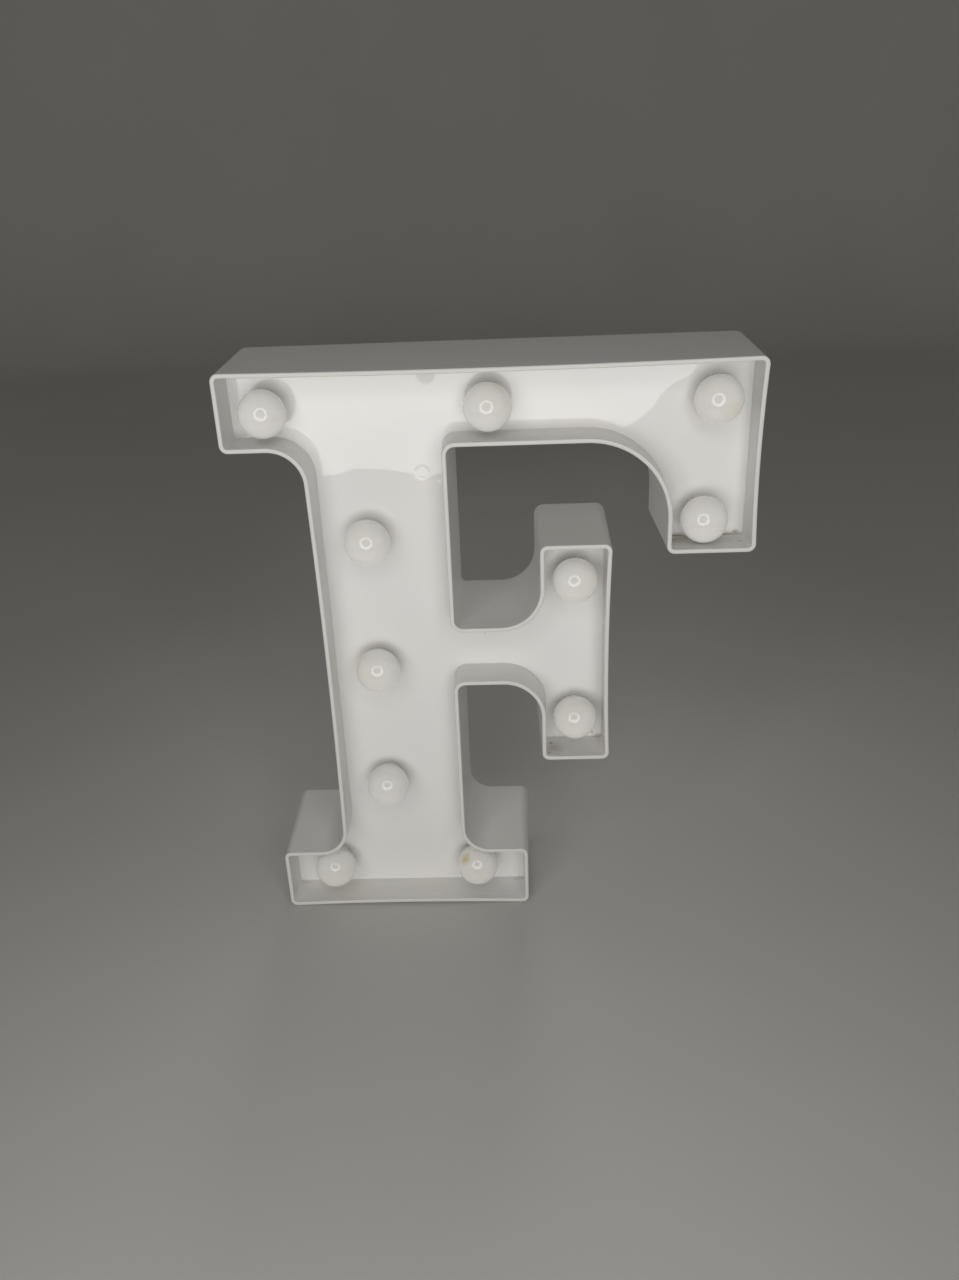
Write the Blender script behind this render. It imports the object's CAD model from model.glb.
import math

import bmesh
import bpy
from mathutils import Matrix, Vector


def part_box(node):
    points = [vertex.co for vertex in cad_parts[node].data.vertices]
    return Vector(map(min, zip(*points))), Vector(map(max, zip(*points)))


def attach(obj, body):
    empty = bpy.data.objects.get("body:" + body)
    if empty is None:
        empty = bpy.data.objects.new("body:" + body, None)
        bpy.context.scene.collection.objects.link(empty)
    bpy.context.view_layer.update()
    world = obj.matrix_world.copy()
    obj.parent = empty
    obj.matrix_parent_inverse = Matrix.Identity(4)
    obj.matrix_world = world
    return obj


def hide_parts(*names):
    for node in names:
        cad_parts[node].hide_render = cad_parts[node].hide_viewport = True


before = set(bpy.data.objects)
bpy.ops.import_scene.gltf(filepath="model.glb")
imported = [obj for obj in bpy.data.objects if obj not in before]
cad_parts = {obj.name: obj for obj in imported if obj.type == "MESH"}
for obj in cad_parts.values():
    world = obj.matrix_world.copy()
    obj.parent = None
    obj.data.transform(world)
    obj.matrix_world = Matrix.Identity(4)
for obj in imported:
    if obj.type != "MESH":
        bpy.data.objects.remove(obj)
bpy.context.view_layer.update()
scene = bpy.context.scene
scene.view_settings.view_transform = "Standard"
mm = 0.001
print("frame:", len(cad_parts), "nodes")

# the letter lying on its back, in mm: x along the arms, y up the stem, z from back to rim
letter = {
    "front": 47.3,  # back to the foremost bulb
    "depth": 45,
    "recess": 15,  # rim down to the face
    "faceThick": 2,
    "coverThick": 2,
    "draft": 0.95,  # how far the back stands out past the rim
    "bow": 0.8,  # how far the long free edges draw in
    "rim": 1.6,
    "root": 0.15,  # lean of the tray's wall
    "rebate": 1.2,
    "wall": 2,
    "lipRound": (0.5, 4),  # radius and steps
    "trayRound": (0.45, 3),
    "backRound": (0.3, 2),
    "bulbHole": 4.75,
    "holeSides": 40,
    "footBand": 10,  # the outline below this is the foot, which stays level
    "corners": [  # x, y and radius at the rim, round from the foot's left end
        (-89.4, 0, 2.8), (10, 0, 2.8), (10, 26.9, 2.8), (-15, 26.9, 10),
        (-15, 102.1, 3), (16.4, 102.1, 14.5), (16.4, 68.7, 2.8), (42, 68.7, 2.8),
        (42, 156.7, 2.8), (16.4, 156.7, 2.8), (16.4, 125.5, 14.5), (-15, 125.5, 3),
        (-15, 193, 3), (61, 193, 28), (61, 152.4, 2.8), (92, 152.4, 2.8),
        (92, 220, 2.8), (-92, 220, 2.8), (-92, 193, 2.8), (-64.4, 193, 12),
        (-64.4, 26.9, 10), (-89.4, 26.9, 2.8),
    ],
    "cornerSteps": (6, 0.8),  # steps in a sharp corner, and more for each mm of radius
    "bowed": [  # axis, place, start, end and inward side of each long free edge
        (1, 0, -86.6, 7.2, 1), (0, 42, 71.5, 153.9, -1), (0, 92, 155.2, 217.2, -1),
        (1, 220, -89.2, 89.2, -1), (0, -64.4, 36.9, 181, 1),
    ],
    "bowCuts": 15,
    "bulbs": [
        (-77.2, 205), (-0.5, 205), (77.2, 205), (74.4, 163), (29.2, 141.1), (29.2, 84.3),
        (-45.2, 157.75), (-45.2, 106.45), (-45.2, 55.15), (-70, 15.3), (-10.8, 15.3),
    ],
    "screws": [
        (-39.7, 213.5), (38.2, 213.5), (68, 180), (36, 112.7), (-27.7, 35.9), (-27.7, 167.75),
    ],
}
faceZ = letter["depth"] - letter["recess"]
faceY = letter["front"] / 2 - faceZ  # where the face stands once the letter is upright
rimY = letter["front"] / 2 - letter["depth"]
upright = Matrix.Translation((0, letter["front"] / 2, 0)) @ Matrix.Rotation(math.pi / 2, 4, "X")


# small helpers for node trees
def feed(tree, node, inputs):  # links what comes from another node, and sets the rest
    for key, value in inputs.items():
        if isinstance(value, bpy.types.NodeSocket):
            tree.links.new(value, node.inputs[key])
        else:
            node.inputs[key].default_value = value


def addNode(tree, kind, inputs=None, **settings):
    made = tree.nodes.new("ShaderNode" + kind)
    for key, value in settings.items():
        setattr(made, key, value)
    feed(tree, made, inputs or {})
    return made


def newFinish(name):
    finish = bpy.data.materials.new(name)
    finish.use_nodes = True
    tree = finish.node_tree
    place = addNode(tree, "TexCoord").outputs["Object"]
    return finish, tree, tree.nodes["Principled BSDF"], place


def noiseOf(tree, place, scale, detail=3.0, rough=0.5):
    inputs = {"Vector": place, "Scale": scale, "Detail": detail, "Roughness": rough}
    return addNode(tree, "TexNoise", inputs).outputs["Fac"]


def stretched(tree, place, scale):
    return addNode(tree, "Mapping", {"Vector": place, "Scale": scale}).outputs[0]


def spread(tree, value, low, high, toLow=0.0, toHigh=1.0, kind="SMOOTHSTEP"):
    inputs = {0: value, 1: low, 2: high, 3: toLow, 4: toHigh}
    return addNode(tree, "MapRange", inputs, interpolation_type=kind).outputs[0]


def calc(tree, operation, first, second=0.0):
    return addNode(tree, "Math", {0: first, 1: second}, operation=operation).outputs[0]


def times(tree, first, second):
    return calc(tree, "MULTIPLY", first, second)


def mostOf(tree, parts):
    total = parts[0]
    for part in parts[1:]:
        total = calc(tree, "MAXIMUM", total, part)
    return total


def blendColour(tree, factor, first, second):
    inputs = {0: factor}
    for slot, colour in ((6, first), (7, second)):
        inputs[slot] = colour if isinstance(colour, bpy.types.NodeSocket) else (*colour, 1)
    return addNode(tree, "Mix", inputs, data_type="RGBA").outputs[2]


def clouded(tree, place, scale, first, second, low=0.35, high=0.7):  # two close colours in soft patches
    return blendColour(tree, spread(tree, noiseOf(tree, place, scale), low, high), first, second)


def nearPoint(tree, place, point, radii, flat=0.0):  # 1 over the flat share of the radii, 0 outside them
    middle, reach = ([size * mm for size in sizes] for sizes in (point, radii))
    away = addNode(tree, "VectorMath", {0: place, 1: middle}, operation="SUBTRACT").outputs[0]
    away = addNode(tree, "VectorMath", {0: away, 1: reach}, operation="DIVIDE").outputs[0]
    gap = addNode(tree, "VectorMath", {0: away}, operation="LENGTH").outputs["Value"]
    return spread(tree, gap, 1.0, flat)


def bumpOf(tree, height, strength, depth, under=None):
    inputs = {"Height": height, "Strength": strength, "Distance": depth * mm}
    if under:
        inputs["Normal"] = under
    return addNode(tree, "Bump", inputs).outputs["Normal"]


# finishes: scales are per metre, depths and places in mm
shellLook = {
    "white": (0.805, 0.792, 0.768),
    "cool": (0.78, 0.782, 0.772),
    "rim": (0.70, 0.69, 0.665),
    "grime": (0.25, 0.22, 0.12),
    "speck": (0.16, 0.14, 0.11),
    "streak": (0.56, 0.53, 0.47),
    "speckMost": 0.6,
    "streakMost": 0.07,
    "faceRough": 0.016,
    "wallRough": 0.42,
    "smearRough": 0.02,
    "dirtRough": 0.4,
    "ior": 1.54,
    "glow": 0.06,
    "lightDepth": (0.9, 0.8, 0.65),
    "cloud": 24,
    "speckScale": 75.0,
    "noises": {  # scale, detail and roughness
        "crumb": (900, 6, 0.65), "sparse": (41,), "smear": (130, 5, 0.6),
        "wave": (30, 1, 0.4), "drawn": (1.0, 4, 0.6), "grain": (700, 2),
    },
    "limits": {  # where a pattern starts and where it is full
        "crumb": (0.3, 0.62), "sparse": (0.56, 0.62), "speck": (0.03, 0.015),
        "smear": (0.5, 0.8), "streak": (0.42, 0.68),
    },
    "crumbLeast": 0.4,
    "lines": (6, 420, 6),  # stretch of the drawn lines that run round the wall
    "grainBump": (0.35, 0.008),  # strength and depth
    "rimBand": (1.1, 0.2),  # how far behind the rim's front its colour starts and is full
    "faceBand": (1.2, 0.4),  # how far from the face its gloss starts and is full
    "facing": (-0.6, -0.9),  # how far a surface turns to the front before it counts as face
    "waveHeight": 0.014,
    "swellDeep": 3,
    "swells": [  # x, z, radii and height of slow waves in the face
        (-69, 170, 22.7, 26.3, 0.241), (-60.9, 176.8, 25.2, 14.1, 0.062),
        (-42, 166.3, 28.7, 19.1, -0.104), (-13.3, 170.8, 13.2, 20.3, -0.114),
        (-23, 204.5, 15, 14, 0.22), (66, 196, 10, 16, -0.1),
        (-39.7, 213.5, 6, 6, -0.03), (38.2, 213.5, 6, 6, -0.03),  # sinks over the screw bosses
        (68, 180, 6, 6, -0.03), (36, 112.7, 6, 6, -0.03),
    ],
    "pins": [  # x, z, radius and flat share of ejector marks
        (-24.6, 180.4, 3.0, 0.7), (-18.7, 177.4, 1.1, 0.0),
    ],
    "pinHeight": -0.03,
    "dirt": [  # middle, radii and strength where dust has settled in the corners
        ((66, -7.0, 154.3), (6, 1.6, 1.3), 1.0), ((65, -11, 154), (7, 6.5, 2.5), 0.6),
        ((63.2, -12, 155), (1.5, 5, 2.5), 0.3), ((84.5, -6.8, 154.3), (6, 1.4, 1.2), 1.0),
        ((87.6, -6.6, 154.6), (2.2, 1.4, 1.7), 1.0), ((87.9, -14, 154), (1.3, 1.3, 1.3), 0.7),
        ((84, -12, 154), (8, 6, 2), 0.25), ((39, -6.8, 70.8), (4, 1.3, 1.1), 0.75),
        ((36.6, -6.4, 72.1), (0.8, 0.8, 0.8), 1.0), ((21.5, -15, 70.4), (6, 6.5, 2.5), 0.5),
        ((20.1, -11.3, 70.4), (1.4, 1.2, 1.2), 0.95), ((19.2, -18.4, 70.8), (1.6, 1.4, 1.4), 0.7),
        ((28, -6.7, 70.6), (12, 0.9, 0.9), 0.3), ((-86, -8, 1.8), (5, 2, 1.5), 0.25),
        ((6, -8, 1.8), (5, 2, 1.5), 0.25),
    ],
}


def shellFinish():
    look, noises, limits = shellLook, shellLook["noises"], shellLook["limits"]
    finish, tree, shader, place = newFinish("glossyShell")
    axes = addNode(tree, "SeparateXYZ", {0: place}).outputs
    colour = clouded(tree, place, look["cloud"], look["white"], look["cool"])
    atRim = spread(tree, axes["Y"], *[(rimY + edge) * mm for edge in look["rimBand"]])
    colour = blendColour(tree, atRim, colour, look["rim"])

    # dust in the corners, and a few dark specks
    crumbs = noiseOf(tree, place, *noises["crumb"])
    crumbs = spread(tree, crumbs, *limits["crumb"], look["crumbLeast"])
    heaps = [times(tree, nearPoint(tree, place, *heap), most) for *heap, most in look["dirt"]]
    dirt = times(tree, mostOf(tree, heaps), crumbs)
    colour = blendColour(tree, dirt, colour, look["grime"])
    dots = addNode(tree, "TexVoronoi", {"Vector": place, "Scale": look["speckScale"], "Randomness": 1.0})
    sparse = spread(tree, noiseOf(tree, place, *noises["sparse"]), *limits["sparse"])
    specks = times(tree, spread(tree, dots.outputs["Distance"], *limits["speck"]), sparse)
    colour = blendColour(tree, times(tree, specks, look["speckMost"]), colour, look["speck"])

    # the face is glossy, the walls are duller
    turnedTo = addNode(tree, "SeparateXYZ", {0: addNode(tree, "TexCoord").outputs["Normal"]}).outputs["Y"]
    away = calc(tree, "ABSOLUTE", calc(tree, "SUBTRACT", axes["Y"], faceY * mm))
    atFace = spread(tree, away, *[edge * mm for edge in look["faceBand"]])
    onFace = times(tree, atFace, spread(tree, turnedTo, *look["facing"]))
    offFace = calc(tree, "SUBTRACT", 1.0, onFace)
    rough = spread(tree, onFace, 0.0, 1.0, look["wallRough"], look["faceRough"], "LINEAR")
    smears = noiseOf(tree, place, *noises["smear"])
    smears = spread(tree, smears, *limits["smear"], 0.0, look["smearRough"])
    rough = calc(tree, "ADD", calc(tree, "ADD", rough, smears), times(tree, dirt, look["dirtRough"]))

    # slow waves and ejector marks in the face
    level = times(tree, noiseOf(tree, place, *noises["wave"]), look["waveHeight"])
    deep = look["swellDeep"]
    for x, z, wide, tall, height in look["swells"]:
        swell = nearPoint(tree, place, (x, faceY, z), (wide, deep, tall))
        level = calc(tree, "ADD", level, times(tree, swell, height))
    pins = [
        nearPoint(tree, place, (x, faceY, z), (radius, deep, radius), flat)
        for x, z, radius, flat in look["pins"]
    ]
    level = calc(tree, "ADD", level, times(tree, mostOf(tree, pins), look["pinHeight"]))
    normal = bumpOf(tree, level, 1.0, 1.0)

    # drawn lines and fine grain on the walls
    drawn = noiseOf(tree, stretched(tree, place, look["lines"]), *noises["drawn"])
    streaks = spread(tree, drawn, *limits["streak"], 0.0, look["streakMost"])
    streaks = times(tree, streaks, offFace)
    colour = blendColour(tree, streaks, colour, look["streak"])
    grain = calc(tree, "ADD", drawn, noiseOf(tree, place, *noises["grain"]))
    normal = bumpOf(tree, times(tree, grain, offFace), *look["grainBump"], normal)
    feed(tree, shader, {
        "Base Color": colour, "Roughness": rough, "Normal": normal, "IOR": look["ior"],
        "Subsurface Weight": look["glow"], "Subsurface Scale": 1.0,
        "Subsurface Radius": [depth * mm for depth in look["lightDepth"]],
    })
    return finish


bulbLook = {
    "milk": (0.80, 0.788, 0.762),
    "cream": (0.785, 0.762, 0.71),
    "stain": (0.64, 0.52, 0.20),
    "rough": (0.02, 0.08),
    "ior": 1.7,
    "frost": 0.85,  # shades flatter than a plain ball
    "glow": 0.12,
    "lightDepth": (1.6, 1.3, 0.9),
    "cloud": 60,
    "noises": {"blotch": (500,), "smear": (260, 4), "frost": (1800, 2)},
    "limits": {"cloud": (0.42, 0.72), "blotch": (0.3, 0.55), "smear": (0.3, 0.7)},
    "blotchLeast": 0.45,
    "frostBump": (0.2, 0.0012),
    "stains": [  # x, y, z, radius and strength
        (-15.6, -19.1, 20.9, 3.8, 0.9), (-7.6, -22.8, 12.4, 2.4, 0.16),
        (81, -21, 203, 4.5, 0.16), (-47.5, -21, 161, 3.5, 0.1),
    ],
}


def bulbFinish():
    look, noises, limits = bulbLook, bulbLook["noises"], bulbLook["limits"]
    finish, tree, shader, place = newFinish("frostedBulb")
    colour = clouded(tree, place, look["cloud"], look["milk"], look["cream"], *limits["cloud"])
    blotch = noiseOf(tree, place, *noises["blotch"])
    blotch = spread(tree, blotch, *limits["blotch"], look["blotchLeast"])
    for x, y, z, radius, most in look["stains"]:
        spot = times(tree, nearPoint(tree, place, (x, y, z), [radius] * 3), blotch)
        colour = blendColour(tree, times(tree, spot, most), colour, look["stain"])
    smears = noiseOf(tree, place, *noises["smear"])
    frost = noiseOf(tree, place, *noises["frost"])
    feed(tree, shader, {
        "Base Color": colour, "IOR": look["ior"], "Diffuse Roughness": look["frost"],
        "Roughness": spread(tree, smears, *limits["smear"], *look["rough"]),
        "Normal": bumpOf(tree, frost, *look["frostBump"]),
        "Subsurface Weight": look["glow"], "Subsurface Scale": 1.0,
        "Subsurface Radius": [depth * mm for depth in look["lightDepth"]],
    })
    return finish


# grained mouldings of the back: main colour, shade, pits per metre and roughness
grainLooks = {
    "coverGrain": ((0.76, 0.75, 0.72), (0.73, 0.725, 0.70), 2600, 0.42),
    "doorGrain": ((0.77, 0.755, 0.725), (0.74, 0.73, 0.70), 2400, 0.4),
}
grainWear = {
    "cloud": 20, "pit": (3, 0.6), "pitLimits": (0.62, 0.8), "pitShade": 0.8, "pitMost": 0.25,
    "pitBump": (0.55, 0.03), "scuff": (45, 5, 0.7), "scuffLimits": (0.5, 0.72),
    "scuffLines": (1, 1, 9), "scuffShine": 0.1, "ior": 1.53,
}


def grainFinish(name, white, shade, grain, rough):
    wear = grainWear
    finish, tree, shader, place = newFinish(name)
    colour = clouded(tree, place, wear["cloud"], white, shade)
    pits = noiseOf(tree, place, grain, *wear["pit"])
    inPits = spread(tree, pits, *wear["pitLimits"], 0.0, wear["pitMost"])
    colour = blendColour(tree, inPits, colour, [c * wear["pitShade"] for c in shade])
    scuffs = noiseOf(tree, stretched(tree, place, wear["scuffLines"]), *wear["scuff"])
    scuffs = spread(tree, scuffs, *wear["scuffLimits"])
    feed(tree, shader, {
        "Base Color": colour, "IOR": wear["ior"],
        "Roughness": spread(tree, scuffs, 0.0, 1.0, rough, rough - wear["scuffShine"], "LINEAR"),
        "Normal": bumpOf(tree, pits, *wear["pitBump"]),
    })
    return finish


# bare metals: bright and dull colour, roughness and stretch of the rolled lines
metalLooks = {
    "nickelSheet": ((0.72, 0.72, 0.70), (0.62, 0.61, 0.58), 0.24, (1, 1, 14)),
    "zincScrew": ((0.68, 0.68, 0.69), (0.55, 0.55, 0.57), 0.3, (1, 1, 1)),
    "tinnedPin": ((0.78, 0.70, 0.50), (0.70, 0.60, 0.40), 0.28, (1, 8, 1)),
    "cellSteel": ((0.70, 0.70, 0.69), (0.60, 0.60, 0.59), 0.26, (1, 1, 1)),
}
metalWear = {
    "cloud": 160, "lines": (900, 4, 0.6), "limits": (0.3, 0.7), "lineBump": (0.3, 0.006),
    "smoother": 0.07, "rougher": 0.09,
}


def metalFinish(name, bright, dull, rough, stretch):
    wear = metalWear
    finish, tree, shader, place = newFinish(name)
    lines = noiseOf(tree, stretched(tree, place, stretch), *wear["lines"])
    low, high = rough - wear["smoother"], rough + wear["rougher"]
    feed(tree, shader, {
        "Base Color": clouded(tree, place, wear["cloud"], bright, dull), "Metallic": 1.0,
        "Roughness": spread(tree, lines, *wear["limits"], low, high),
        "Normal": bumpOf(tree, lines, *wear["lineBump"]),
    })
    return finish


# small plain parts: two close colours, roughness, grain per metre and share of metal
plainLooks = {
    "knobBlack": ((0.022, 0.022, 0.024), (0.035, 0.034, 0.034), 0.42, 1500, 0.0),
    "wordGrey": ((0.16, 0.16, 0.165), (0.21, 0.21, 0.21), 0.55, 2200, 0.0),
    "redWire": ((0.52, 0.03, 0.022), (0.42, 0.025, 0.02), 0.4, 1200, 0.0),
    "blackWire": ((0.02, 0.02, 0.022), (0.03, 0.03, 0.03), 0.42, 1200, 0.0),
    "warmLens": ((0.80, 0.70, 0.34), (0.84, 0.77, 0.50), 0.14, 700, 0.0),
    "cellSleeve": ((0.022, 0.035, 0.06), (0.03, 0.045, 0.075), 0.3, 500, 0.35),
    "cellBand": ((0.50, 0.26, 0.10), (0.44, 0.22, 0.09), 0.28, 500, 0.8),
}
plainWear = {
    "cloudShare": 0.2, "cloudLimits": (0.35, 0.68), "limits": (0.3, 0.7), "grainBump": (0.3, 0.01),
    "smoother": 0.06, "rougher": 0.08,
}


def plainFinish(name, main, other, rough, grain, metallic):
    wear = plainWear
    finish, tree, shader, place = newFinish(name)
    fine = noiseOf(tree, place, grain)
    colour = clouded(tree, place, grain * wear["cloudShare"], main, other, *wear["cloudLimits"])
    low, high = rough - wear["smoother"], rough + wear["rougher"]
    feed(tree, shader, {
        "Base Color": colour, "Metallic": metallic,
        "Roughness": spread(tree, fine, *wear["limits"], low, high),
        "Normal": bumpOf(tree, fine, *wear["grainBump"]),
    })
    return finish


finishes = {"glossyShell": shellFinish(), "frostedBulb": bulbFinish()}
for makeFinish, looks in ((grainFinish, grainLooks), (metalFinish, metalLooks), (plainFinish, plainLooks)):
    finishes.update({name: makeFinish(name, *look) for name, look in looks.items()})
print("finishes made:", len(finishes))


# small helpers for pieces, all in mm
def vertsIn(geom):
    return [g for g in geom if isinstance(g, bmesh.types.BMVert)]


def inset(bm, face, thickness, depth=0.0):  # gives back the ring left outside
    made = bmesh.ops.inset_region(
        bm, faces=[face], thickness=thickness, depth=depth, use_boundary=True, use_even_offset=True,
    )
    return {v for f in made["faces"] for v in f.verts} - set(face.verts)


def rounded(bm, geom, radius, segments=2, kind="EDGES"):
    bmesh.ops.bevel(
        bm, geom=geom, offset=radius, offset_type="OFFSET", affect=kind,
        segments=segments, profile=0.5, material=-1, clamp_overlap=False,
    )


def ringEdges(bm, ring):
    inRing = set(ring)
    return [e for e in bm.edges if e.verts[0] in inRing and e.verts[1] in inRing]


def trace(bm, points, last=None):  # a line from point to point, on from the last vertex
    for point in points:
        if last is None:
            last = bm.verts.new(point)
        else:
            last = bmesh.ops.extrude_vert_indiv(bm, verts=[last])["verts"][0]
            last.co = point
    return last


def arcOn(bm, vert, centre, angle, steps):
    made = bmesh.ops.spin(bm, geom=[vert], cent=centre, axis=(0, 1, 0), angle=angle, steps=steps)
    return vertsIn(made["geom_last"])[0]


def turned(bm, steps, weld=0.002):
    bmesh.ops.spin(
        bm, geom=bm.verts[:] + bm.edges[:], cent=(0, 0, 0), axis=(0, 0, 1),
        angle=math.tau, steps=steps, use_merge=True,
    )
    bmesh.ops.remove_doubles(bm, verts=bm.verts[:], dist=weld)
    bmesh.ops.recalc_face_normals(bm, faces=bm.faces[:])


def block(bm, size, place, radius=0.15):
    shape = Matrix.Translation(place) @ Matrix.Diagonal((*size, 1))
    made = bmesh.ops.create_cube(bm, size=1, matrix=shape)
    rounded(bm, list({e for v in made["verts"] for e in v.link_edges}), radius)


def joined(bm, other, matrix):
    bmesh.ops.transform(other, matrix=matrix, verts=other.verts[:])
    part = bpy.data.meshes.new("part")
    other.to_mesh(part)
    other.free()
    bm.from_mesh(part)
    bpy.data.meshes.remove(part)


def finished(bm, name, looks, node, body="letter", lying=True, crease=32):
    toFrame = Matrix.Scale(mm, 4)
    if lying:
        toFrame = toFrame @ upright
    bmesh.ops.transform(bm, matrix=toFrame, verts=bm.verts[:])
    mesh = bpy.data.meshes.new(name)
    bm.to_mesh(mesh)
    bm.free()
    mesh.shade_smooth()
    mesh.set_sharp_from_angle(angle=math.radians(crease))
    for look in looks:
        mesh.materials.append(finishes[look])
    piece = bpy.data.objects.new(name, mesh)
    scene.collection.objects.link(piece)
    piece.modifiers.new("evenNormals", "WEIGHTED_NORMAL").keep_sharp = True
    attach(piece, body)
    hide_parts(node)


# the shell: outline, wall, rim and tray
def letterFace(bm, grow):
    corners = letter["corners"]
    count = len(corners)
    normals = []
    for i in range(count):
        step = Vector(corners[(i + 1) % count][:2]) - Vector(corners[i][:2])
        normals.append(Vector((step.y, -step.x)).normalized())
    verts, rounds = [], {}
    for i, (x, y, radius) in enumerate(corners):
        before, after = normals[i - 1], normals[i]
        move = grow * (before * (i != 1) + after * (i != 0))  # edge 0 is the foot and stays down
        vert = bm.verts.new((x + move.x, y + move.y, 0))
        verts.append(vert)
        outer = before.cross(after) > 0
        rounds.setdefault((radius, outer), []).append(vert)
    bm.faces.new(verts)
    steps, more = letter["cornerSteps"]
    for (radius, outer), group in rounds.items():
        grown = radius + (grow if outer else -grow)
        rounded(bm, group, grown, steps + int(radius * more), "VERTICES")
    bm.faces.ensure_lookup_table()
    return bm.faces[0]


def cutLongEdges(bm, near=1.5, most=0.8):  # near its place, and most of its length
    long = []
    for axis, place, start, end, side in letter["bowed"]:
        for edge in bm.edges:
            beside = all(abs(v.co[axis] - place) < near for v in edge.verts)
            if beside and edge.calc_length() > most * (end - start):
                long.append(edge)
    bmesh.ops.subdivide_edges(bm, edges=long, cuts=letter["bowCuts"])


def bowIn(verts, near=3):
    for v in verts:
        for axis, place, start, end, side in letter["bowed"]:
            t = (v.co[1 - axis] - start) / (end - start)
            if abs(v.co[axis] - place) < near and 0 < t < 1:
                v.co[axis] += side * letter["bow"] * 4 * t * (1 - t)  # most at the middle


def raiseWall(bm, face, thickness, depth):  # a drafted step of the outer wall, foot kept down
    inset(bm, face, thickness, depth)
    for v in face.verts:
        if v.co.y < letter["footBand"]:
            v.co.y -= thickness


def cutHoles(mesh, spots, radius, low, high):
    bm = bmesh.new()
    for x, y in spots:
        bmesh.ops.create_cone(
            bm, cap_ends=True, segments=letter["holeSides"], radius1=radius, radius2=radius,
            depth=high - low, matrix=Matrix.Translation((x, y, (low + high) / 2)),
        )
    drillMesh = bpy.data.meshes.new("drill")
    bm.to_mesh(drillMesh)
    bm.free()
    drill = bpy.data.objects.new("drill", drillMesh)
    stock = bpy.data.objects.new("stock", mesh)
    for thing in (drill, stock):
        scene.collection.objects.link(thing)
    cut = stock.modifiers.new("holes", "BOOLEAN")
    cut.object, cut.operation, cut.solver = drill, "DIFFERENCE", "EXACT"
    bpy.context.view_layer.update()
    result = bpy.data.meshes.new_from_object(stock.evaluated_get(bpy.context.evaluated_depsgraph_get()))
    bpy.data.objects.remove(drill)
    bpy.data.objects.remove(stock)
    return result


# screw bosses behind the face, from just inside it down to the cover's wells
boss = {"radius": 3.4, "pilot": 1.3, "into": 0.5, "low": 5.9, "deep": 9, "sides": 28}


def bossOn(bm, x, y):
    top = faceZ - letter["faceThick"] + boss["into"]
    circle = bmesh.ops.create_circle(
        bm, cap_ends=True, segments=boss["sides"], radius=boss["radius"],
        matrix=Matrix.Translation((x, y, top)),
    )
    cap = circle["verts"][0].link_faces[0]
    made = bmesh.ops.extrude_face_region(bm, geom=[cap])["geom"]
    bmesh.ops.translate(bm, vec=(0, 0, boss["low"] - top), verts=vertsIn(made))
    end = [g for g in made if isinstance(g, bmesh.types.BMFace)][0]
    around = [f for f in bm.faces if f == end or f == cap or any(v in end.verts for v in f.verts)]
    bmesh.ops.recalc_face_normals(bm, faces=around)
    inset(bm, end, boss["radius"] - boss["pilot"])
    inset(bm, end, 0.0, -boss["deep"])


def makeShell(drillPast=3):
    bm = bmesh.new()
    plate = letterFace(bm, letter["draft"])
    cutLongEdges(bm)
    share = letter["draft"] / letter["depth"]
    raiseWall(bm, plate, share * faceZ, faceZ)
    raiseWall(bm, plate, share * letter["recess"], letter["recess"])
    outerLip = inset(bm, plate, letter["rim"])
    innerLip = inset(bm, plate, letter["root"], -letter["recess"])
    bowIn(outerLip | innerLip)
    back = bmesh.ops.holes_fill(bm, edges=[e for e in bm.edges if e.is_boundary], sides=0)["faces"][0]
    backLip = inset(bm, back, letter["rebate"])
    inset(bm, back, 0.0, -letter["coverThick"])
    inset(bm, back, letter["wall"] - letter["rebate"])
    inset(bm, back, 0.0, letter["coverThick"] + letter["faceThick"] - faceZ)
    lips = ringEdges(bm, outerLip) + ringEdges(bm, innerLip)
    backEdges = ringEdges(bm, backLip)
    trayEdges = ringEdges(bm, plate.verts)
    rounded(bm, lips, *letter["lipRound"])
    rounded(bm, trayEdges, *letter["trayRound"])
    rounded(bm, backEdges, *letter["backRound"])
    mesh = bpy.data.meshes.new("tray")
    bm.to_mesh(mesh)
    bm.free()
    low, high = faceZ - letter["faceThick"] - drillPast, faceZ + drillPast
    mesh = cutHoles(mesh, letter["bulbs"], letter["bulbHole"], low, high)
    bm = bmesh.new()
    bm.from_mesh(mesh)
    for x, y in letter["screws"]:
        bossOn(bm, x, y)
    finished(bm, "shell", ["glossyShell"], "front_shell")


makeShell()
print("shell made")

# bulbs: a globe with a parting seam, a shoulder on the face, and a hollow neck
bulb = {
    "radius": 8.3,
    "height": 9,
    "wall": 1.2,
    "shoulder": 5.1,
    "neck": 4.6,
    "seam": 0.08,
    "topArc": 88.6,  # degrees from the top to just above the seam
    "underSeam": 1,  # degrees
    "seamLine": [(0.8, 0.13), (1, 0.05), (1, -0.05), (-0.2, -0.14)],  # share of the seam, and height
    "shoulderUp": 0.25,
    "shoulderLine": [(0, 0.5), (-0.1, 0.2), (-0.35, 0.05)],  # past the shoulder, and height
    "neckLine": [(0, 0.05), (0, -2.2), (0.4, -2.3), (0.4, -2.6), (0, -3.1), (-0.05, -3.4), (-0.2, -3.5)],
    "neckEnd": -3.5,
    "steps": {"top": 26, "low": 16, "inner": 22, "round": 64},
    "crease": 40,
}


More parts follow.
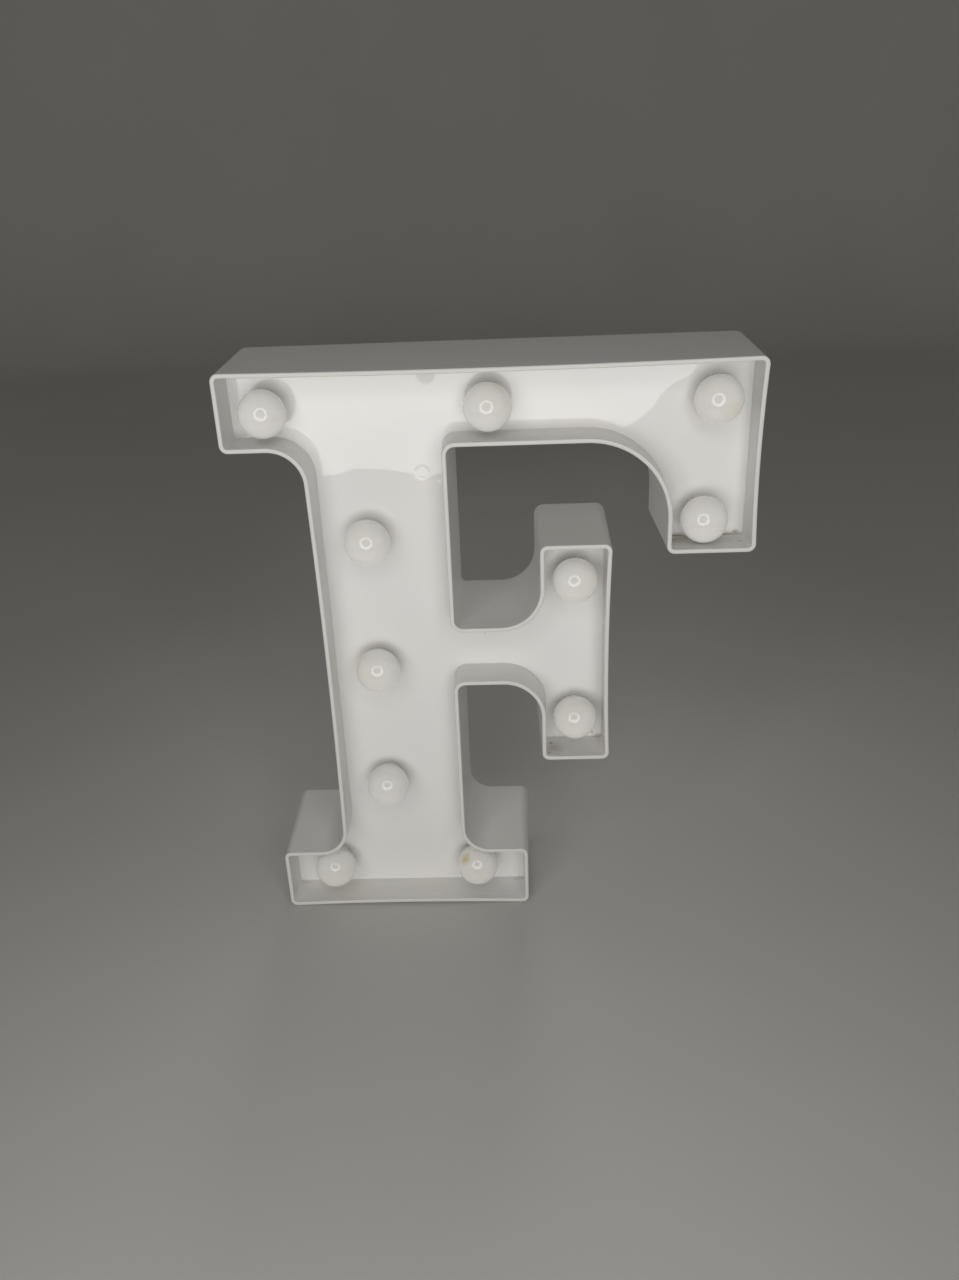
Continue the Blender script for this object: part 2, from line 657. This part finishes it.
def makeBulb(number, x, y):
    bm = bmesh.new()
    r, h, s, steps = bulb["radius"], bulb["height"], bulb["shoulder"], bulb["steps"]
    inner, bore = r - bulb["wall"], bulb["neck"] - bulb["wall"]
    middle = (0, 0, h)
    low = math.asin(s / r)
    last = trace(bm, [(0, 0, h + r)])
    last = arcOn(bm, last, middle, math.radians(bulb["topArc"]), steps["top"])
    last = trace(bm, [(r + bulb["seam"] * share, 0, h + up) for share, up in bulb["seamLine"]], last)
    last = arcOn(bm, last, middle, math.pi / 2 - low - math.radians(bulb["underSeam"]), steps["low"])
    line = [(s, 0, h - math.cos(low) * r - bulb["shoulderUp"])]
    line += [(s + past, 0, up) for past, up in bulb["shoulderLine"]]
    line += [(bulb["neck"] + past, 0, up) for past, up in bulb["neckLine"]]
    line += [(bore, 0, bulb["neckEnd"]), (bore, 0, h - math.sqrt(inner ** 2 - bore ** 2))]
    last = trace(bm, line, last)
    last = arcOn(bm, last, middle, -(math.pi - math.asin(bore / inner)), steps["inner"])
    last.co.x = 0
    turned(bm, steps["round"])
    bmesh.ops.translate(bm, vec=(x, y, faceZ), verts=bm.verts[:])
    name, node = "globe_%02d" % number, "bulb_%02d" % number
    finished(bm, name, ["frostedBulb"], node, crease=bulb["crease"])


for number, (x, y) in enumerate(letter["bulbs"], 1):
    makeBulb(number, x, y)
print("bulbs made")

# pieces of the back: the CAD shapes with their moulded edges rounded
backPieces = {  # node: piece, finish, slot, body and rounding
    "battery_door": ("door_panel", "doorGrain", "door", "door", 0.25),
    "switch_slider": ("switch_knob", "knobBlack", "slider", "slider", 0.2),
    "cover_screws": ("screws", "zincScrew", "screw", "letter", 0.18),
}
coverRound = 0.25
switchWords = {
    "size": 3.4, "raise": 0.18, "curveSteps": 4, "weld": 0.0005,
    "places": {"ON": (-45.4, 149.2), "OFF": (-34, 149.2)},
}


def softened(nodeName, radius, weld=0.0008, flat=1, steep=40, sliver=0.001):  # angles in degrees
    bm = bmesh.new()
    bm.from_mesh(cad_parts[nodeName].data)
    bmesh.ops.scale(bm, vec=(1 / mm, 1 / mm, 1 / mm), verts=bm.verts[:])
    bmesh.ops.remove_doubles(bm, verts=bm.verts[:], dist=weld)
    bmesh.ops.dissolve_limit(bm, angle_limit=math.radians(flat), verts=bm.verts[:], edges=bm.edges[:])
    sharp = [e for e in bm.edges if len(e.link_faces) == 2 and e.calc_face_angle() > math.radians(steep)]
    rounded(bm, sharp, radius)
    bmesh.ops.dissolve_degenerate(bm, dist=sliver, edges=bm.edges[:])
    return bm


def raisedWord(word, x, y):
    curve = bpy.data.curves.new("word", "FONT")
    curve.body, curve.size, curve.extrude = word, switchWords["size"], switchWords["raise"]
    curve.align_x = curve.align_y = "CENTER"
    curve.resolution_u = switchWords["curveSteps"]
    holder = bpy.data.objects.new("word", curve)
    scene.collection.objects.link(holder)
    bpy.context.view_layer.update()
    mesh = bpy.data.meshes.new_from_object(holder.evaluated_get(bpy.context.evaluated_depsgraph_get()))
    bpy.data.objects.remove(holder)
    bpy.data.curves.remove(curve)
    bm = bmesh.new()
    bm.from_mesh(mesh)
    bpy.data.meshes.remove(mesh)
    bmesh.ops.remove_doubles(bm, verts=bm.verts[:], dist=switchWords["weld"])
    for face in bm.faces:
        face.material_index = 1  # the grey of the words
    toBack = Matrix.Translation((x, y, 0)) @ Matrix.Rotation(math.pi, 4, "Y")
    bmesh.ops.transform(bm, matrix=toBack, verts=bm.verts[:])
    return bm


cover = softened("back_cover", coverRound)
for word, (x, y) in switchWords["places"].items():
    joined(cover, raisedWord(word, x, y), upright)
finished(cover, "cover", ["coverGrain", "wordGrey"], "back_cover", lying=False)
for node, (name, look, slot, body, radius) in backPieces.items():
    finished(softened(node, radius), name, [look], node, body=body, lying=False)
print("back pieces made")

# cells: turned cans with a two-colour sleeve and a bare tip
cell = {
    "profile": [  # radius and height, from the flat end to the tip
        (0, 0.3), (4.5, 0.3), (4.8, 0.05), (5.3, 0), (6.2, 0.05), (6.8, 0.3), (7.1, 0.9),
        (7.1, 36.6), (7.1, 36.9), (7.1, 47.4), (6.95, 48.2), (6.4, 48.75), (5.6, 48.9), (5.2, 48.65),
        (3.3, 48.6), (2.9, 48.8), (2.7, 49.1), (2.7, 49.85), (2.4, 50.2), (0, 50.2),
    ],
    "steps": 48,
    "bandFrom": 36.7,
    "steelLow": 0.25,
    "steelHigh": 48.6,
    "looks": ["cellSleeve", "cellBand", "cellSteel"],
}


def makeCell(nodeName, name, tipUp):
    low, high = (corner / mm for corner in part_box(nodeName))
    middle = (low + high) / 2
    bm = bmesh.new()
    trace(bm, [(x, 0, z) for x, z in cell["profile"]])
    turned(bm, cell["steps"])
    for face in bm.faces:
        z = face.calc_center_median().z
        bare = z < cell["steelLow"] or z > cell["steelHigh"]
        face.material_index = 2 if bare else int(z > cell["bandFrom"])  # place in the looks
    turn = Matrix.Identity(4) if tipUp else Matrix.Rotation(math.pi, 4, "X")
    move = Matrix.Translation((middle.x, middle.y, low.z if tipUp else high.z))
    bmesh.ops.transform(bm, matrix=move @ turn, verts=bm.verts[:])
    finished(bm, name, cell["looks"], nodeName, lying=False)


makeCell("cell_left", "cell_a", True)
makeCell("cell_right", "cell_b", False)

# contacts: sheet plates, pressed dimples and conical coils, already upright
contact = {
    "plate": (12.2, 11, 0.4),
    "left": -47,
    "right": -32.4,
    "y": 14.15,
    "lowZ": 62.3,
    "highZ": 118.5,
    "strapY": 17.65,
    "strapDeep": 4,
    "lugY": 10.15,
    "lugSize": (3, 0.4, 4),
    "coilWide": 4.6,
    "coilNarrow": 3.2,
    "coilLength": 4.3,
    "turns": 5.5,
    "turnSteps": 22,
    "wire": 0.3,
    "wireSides": 10,
    "weld": 0.0005,
    "dimple": [(0, -0.1), (3.2, -0.1), (3.2, 0), (2.9, 0.3), (2.3, 0.62), (1.5, 0.78), (0, 0.8)],
    "dimpleSteps": 32,
}


def coil():
    bm = bmesh.new()
    c = contact
    spot = Matrix.Translation((c["coilWide"], 0, c["wire"])) @ Matrix.Rotation(math.pi / 2, 4, "X")
    ring = bmesh.ops.create_circle(
        bm, cap_ends=True, segments=c["wireSides"], radius=c["wire"], matrix=spot,
    )
    steps = int(c["turns"] * c["turnSteps"])
    rise = (c["coilLength"] - 2 * c["wire"]) / steps
    bmesh.ops.spin(
        bm, geom=ring["verts"][0].link_faces[:], cent=(0, 0, 0), axis=(0, 0, 1), dvec=(0, 0, rise),
        angle=math.tau * c["turns"], steps=steps,
    )
    bmesh.ops.remove_doubles(bm, verts=bm.verts[:], dist=c["weld"])
    bmesh.ops.recalc_face_normals(bm, faces=bm.faces[:])
    top = max(v.co.z for v in bm.verts)
    for v in bm.verts:  # draw the coil in towards its end
        share = v.co.z / top
        around = Vector((v.co.x, v.co.y))
        around *= 1 - (c["coilWide"] - c["coilNarrow"]) * share / c["coilWide"]
        v.co.x, v.co.y = around
    return bm


def dimple():
    bm = bmesh.new()
    trace(bm, [(x, 0, z) for x, z in contact["dimple"]])
    turned(bm, contact["dimpleSteps"])
    return bm


def contactSpot(x, z):
    return Matrix.Translation((x, contact["y"], z))


def makeBridge():
    c = contact
    thick = c["plate"][2]
    bm = bmesh.new()
    for x in (c["left"], c["right"]):
        block(bm, c["plate"], (x, c["y"], c["lowZ"]))
    strap = (c["right"] - c["left"], c["strapDeep"], thick)
    block(bm, strap, ((c["left"] + c["right"]) / 2, c["strapY"], c["lowZ"]))
    joined(bm, coil(), contactSpot(c["left"], c["lowZ"] + thick / 2))
    joined(bm, dimple(), contactSpot(c["right"], c["lowZ"] + thick / 2))
    finished(bm, "bridge_contact", ["nickelSheet"], "contact_bridge", lying=False)


def makeTerminal(name, node, x, touch):  # an upper plate with its lug, facing down
    c = contact
    bm = bmesh.new()
    block(bm, c["plate"], (x, c["y"], c["highZ"]))
    block(bm, c["lugSize"], (x, c["lugY"], c["highZ"] + c["lugSize"][2] / 2))
    flip = Matrix.Rotation(math.pi, 4, "X")
    joined(bm, touch(), contactSpot(x, c["highZ"] - c["plate"][2] / 2) @ flip)
    finished(bm, name, ["nickelSheet"], node, lying=False)


makeBridge()
makeTerminal("plus_contact", "contact_plus", contact["left"], dimple)
makeTerminal("minus_contact", "contact_minus", contact["right"], coil)
print("cells and contacts made")

# CAD pieces that keep their shape and only get a finish
kept = {
    "switch_can": "nickelSheet", "switch_pins": "tinnedPin",
    "wire_plus": "redWire", "wire_switch": "redWire", "wire_minus": "blackWire",
}
kept.update({"led_%02d" % number: "warmLens" for number in range(1, len(letter["bulbs"]) + 1)})
for name, look in kept.items():
    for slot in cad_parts[name].material_slots:
        slot.material = finishes[look]
print("kept pieces dressed:", len(kept))

# stage: one pale sheet that sweeps up behind the letter, in metres
stage = {
    "front": -0.8,
    "bend": 1.5,
    "top": 2.0,
    "half": 2.4,
    "curve": 0.35,
    "curveSteps": 24,
    "drop": -0.0003,
    "grey": (0.59, 0.58, 0.56),
    "other": (0.56, 0.55, 0.535),
    "cloud": 3,
    "fibre": (900, 4, 0.6),
    "fibreBump": (0.3, 0.05),
    "rough": 0.85,
    "shine": 0.2,
}


def paperFinish():
    finish, tree, shader, place = newFinish("paperSheet")
    fibre = noiseOf(tree, place, *stage["fibre"])
    feed(tree, shader, {
        "Base Color": clouded(tree, place, stage["cloud"], stage["grey"], stage["other"]),
        "Normal": bumpOf(tree, fibre, *stage["fibreBump"]),
        "Roughness": stage["rough"], "Specular IOR Level": stage["shine"],
    })
    return finish


def makeSheet():
    bm = bmesh.new()
    left, bend, drop = -stage["half"], stage["bend"], stage["drop"]
    trace(bm, [(left, stage["front"], drop), (left, bend, drop), (left, bend, stage["top"])])
    foot = [v for v in bm.verts if len(v.link_edges) == 2]
    rounded(bm, foot, stage["curve"], stage["curveSteps"], "VERTICES")
    side = bmesh.ops.extrude_edge_only(bm, edges=bm.edges[:])["geom"]
    bmesh.ops.translate(bm, vec=(2 * stage["half"], 0, 0), verts=vertsIn(side))
    bmesh.ops.recalc_face_normals(bm, faces=bm.faces[:])
    mesh = bpy.data.meshes.new("sheet")
    bm.to_mesh(mesh)
    bm.free()
    mesh.shade_smooth()
    mesh.materials.append(paperFinish())
    sheet = bpy.data.objects.new("sheet", mesh)
    scene.collection.objects.link(sheet)


makeSheet()

# light: a round lamp about the camera, a soft fill in front, a weak one behind, and an even room
lamp = {
    "centre": (-0.032, -0.366, 0.296),
    "radius": 0.1825,
    "width": 0.085,
    "count": 36,
    "watts": 0.0257,  # for each part of the ring
    "ringColour": (1.0, 0.985, 0.95),
    "aim": (0, 0, 0.11),
    "front": {"place": (0, -1.6, 0.2), "size": (0.9, 0.7), "watts": 6.2, "spread": 180},
    "back": {"place": (0, 1.0, 0.17), "size": (0.3, 0.2), "watts": 0.17, "spread": 26},
    "roomColour": (0.86, 0.84, 0.79),
    "room": 0.12,
    "seen": 0.45,  # the room as the camera and mirrors see it
}


def addLamp(name, size, watts, place, turn):
    light = bpy.data.lights.new(name, "AREA")
    light.shape, light.energy = "RECTANGLE", watts
    light.size, light.size_y = size
    holder = bpy.data.objects.new(name, light)
    holder.location, holder.rotation_euler = place, turn
    holder.visible_camera = False
    scene.collection.objects.link(holder)
    return holder


def makeLamps():
    x, y, z = lamp["centre"]
    radius, width = lamp["radius"], lamp["width"]
    length = math.tau * (radius + width / 2) / lamp["count"]
    for i in range(lamp["count"]):
        turn = math.tau * i / lamp["count"]
        place = (x + radius * math.cos(turn), y, z + radius * math.sin(turn))
        part = addLamp("ringLamp", (width, length), lamp["watts"], place, (math.pi / 2, -turn, 0))
        part.data.color = lamp["ringColour"]
    for side in ("front", "back"):
        soft = lamp[side]
        turn = (Vector(lamp["aim"]) - Vector(soft["place"])).to_track_quat("-Z", "Y").to_euler()
        fill = addLamp(side + "Fill", soft["size"], soft["watts"], soft["place"], turn)
        fill.data.spread = math.radians(soft["spread"])
        fill.visible_glossy = False


def seenDirectly(tree):  # 1 for camera, mirror and see-through rays, so the room behind adds no light
    path = addNode(tree, "LightPath").outputs
    return mostOf(tree, [path["Is Camera Ray"], path["Is Glossy Ray"], path["Is Transmission Ray"]])


def makeRoom():
    world = bpy.data.worlds.new("room")
    world.use_nodes = True
    scene.world = world
    tree = world.node_tree
    light = [c * lamp["room"] for c in lamp["roomColour"]]
    colour = blendColour(tree, seenDirectly(tree), light, [lamp["seen"]] * 3)
    feed(tree, tree.nodes["Background"], {"Color": colour})


makeLamps()
makeRoom()

# camera at the photo's place, turn in degrees
view = {
    "place": (0.00694, -0.36705, 0.28432), "turn": (64.704, 2.116, 1.168),
    "lens": 29.339, "sensor": 36, "near": 0.01,
}
camera = bpy.data.cameras.new("camera")
camera.lens, camera.sensor_width, camera.clip_start = view["lens"], view["sensor"], view["near"]
holder = bpy.data.objects.new("camera", camera)
holder.location = view["place"]
holder.rotation_euler = [math.radians(angle) for angle in view["turn"]]
scene.collection.objects.link(holder)
scene.camera = holder
print("stage, lamps and camera made")
